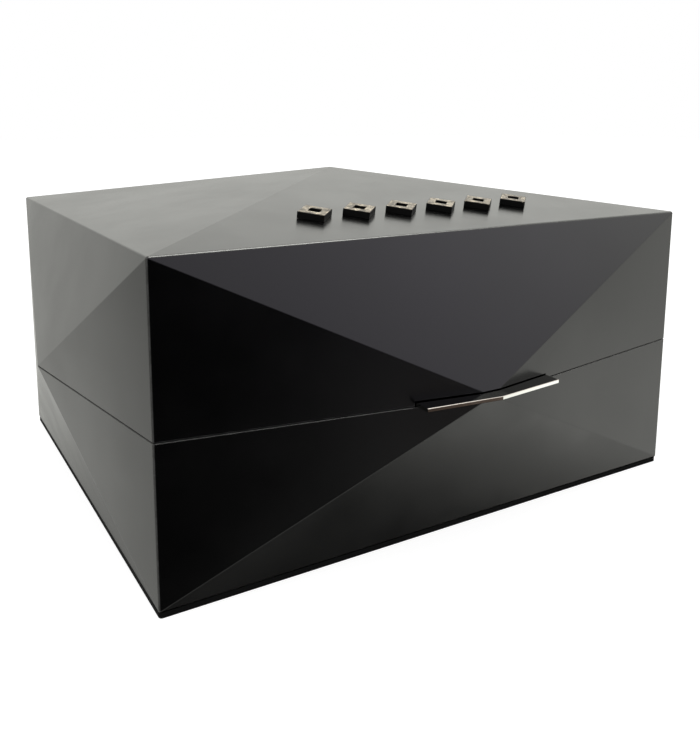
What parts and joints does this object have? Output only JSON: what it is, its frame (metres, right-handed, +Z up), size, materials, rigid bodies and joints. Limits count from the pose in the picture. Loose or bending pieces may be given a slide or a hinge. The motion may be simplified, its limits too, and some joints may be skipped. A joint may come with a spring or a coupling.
{
  "type": "cigar humidor box",
  "caption": "Faceted black lacquered cigar box: hinged lid with chrome lift plate and raised ornaments, cedar lining, lift-out tray, sliding dividers, humidifier and hygrometer.",
  "frame": {"origin": "centre of the plinth pad's underside, midway between the case's front corners and back face", "axes": "+X to the object's right along the front, +Y to the back where the hinges are, +Z up"},
  "size_m": [0.3386, 0.2877, 0.17],
  "materials": {
    "black_lacquer": "satin lacquer over fibreboard",
    "cedar": "bare Spanish cedar",
    "cedar_tray": "bare Spanish cedar",
    "plinth_felt": "dense felt",
    "plate_chrome": "polished",
    "ornament_metal": "worn champagne plating, dark sides",
    "hinge_nickel": "nickel plated",
    "screw_steel": "plated",
    "black_plastic": "fine texture",
    "foam": "open-cell humidifier foam",
    "bezel_chrome": "polished",
    "dial_face": "printed card look",
    "lens_clear": "clear",
    "needle_black": "matt"
  },
  "bodies": {
    "base": {"base_front_panel": "black_lacquer", "base_back_panel": "black_lacquer", "base_left_panel": "black_lacquer", "base_right_panel": "black_lacquer", "base_bottom_panel": "black_lacquer", "base_front_lining": "cedar", "base_back_lining": "cedar", "base_left_lining": "cedar", "base_right_lining": "cedar", "base_floor_lining": "cedar", "tray_rest_left": "cedar_tray", "tray_rest_right": "cedar_tray", "plinth_pad": "plinth_felt", "left_hinge_base_leaf": "hinge_nickel", "left_hinge_pin": "hinge_nickel", "right_hinge_base_leaf": "hinge_nickel", "right_hinge_pin": "hinge_nickel", "hinge_screws_base": "screw_steel"},
    "lid": {"lid_front_panel": "black_lacquer", "lid_back_panel": "black_lacquer", "lid_left_panel": "black_lacquer", "lid_right_panel": "black_lacquer", "lid_top_panel": "black_lacquer", "lid_front_lining": "cedar", "lid_back_lining": "cedar", "lid_left_lining": "cedar", "lid_right_lining": "cedar", "lid_roof_lining": "cedar", "lift_plate": "plate_chrome", "ornament_1": "ornament_metal", "ornament_2": "ornament_metal", "ornament_3": "ornament_metal", "ornament_4": "ornament_metal", "ornament_5": "ornament_metal", "ornament_6": "ornament_metal", "left_hinge_lid_leaf": "hinge_nickel", "right_hinge_lid_leaf": "hinge_nickel", "hinge_screws_lid": "screw_steel", "lift_plate_screws": "screw_steel", "lid_keeper_discs": "screw_steel"},
    "tray": {"tray_front": "cedar_tray", "tray_back": "cedar_tray", "tray_left": "cedar_tray", "tray_right": "cedar_tray", "tray_floor": "cedar_tray"},
    "tray_partition": {"tray_divider": "cedar_tray"},
    "base_partition": {"base_divider": "cedar_tray"},
    "humidifier": {"humidifier_magnets": "screw_steel", "humidifier_case": "black_plastic", "humidifier_grille": "black_plastic", "humidifier_foam": "foam"},
    "hygrometer": {"hygrometer_magnet": "screw_steel", "hygrometer_case": "black_plastic", "hygrometer_bezel": "bezel_chrome", "hygrometer_dial": "dial_face", "hygrometer_lens": "lens_clear"},
    "needle": {"hygrometer_needle": "needle_black"}
  },
  "joints": [
    {"name": "lid_hinge", "type": "hinge", "parent": "base", "child": "lid", "pos_m": [0, 0.1283, 0.0745], "axis": [-1, 0, 0], "range_deg": [0, 95]},
    {"name": "tray_lift", "type": "slide", "parent": "base", "child": "tray", "axis": [0, 0, 1], "range_m": [0, 0.015]},
    {"name": "tray_divider_slide", "type": "slide", "parent": "tray", "child": "tray_partition", "axis": [1, 0, 0], "range_m": [-0.09, 0.09]},
    {"name": "base_divider_slide", "type": "slide", "parent": "base", "child": "base_partition", "axis": [1, 0, 0], "range_m": [-0.09, 0.09]},
    {"name": "humidifier_pull", "type": "slide", "parent": "lid", "child": "humidifier", "axis": [0, 0, -1], "range_m": [0, 0.018]},
    {"name": "hygrometer_pull", "type": "slide", "parent": "lid", "child": "hygrometer", "axis": [0, 0, -1], "range_m": [0, 0.018]},
    {"name": "needle_turn", "type": "hinge", "parent": "hygrometer", "child": "needle", "pos_m": [-0.071, 0, 0.118], "axis": [0, 0, 1], "range_deg": [-189, 81]}
  ]
}
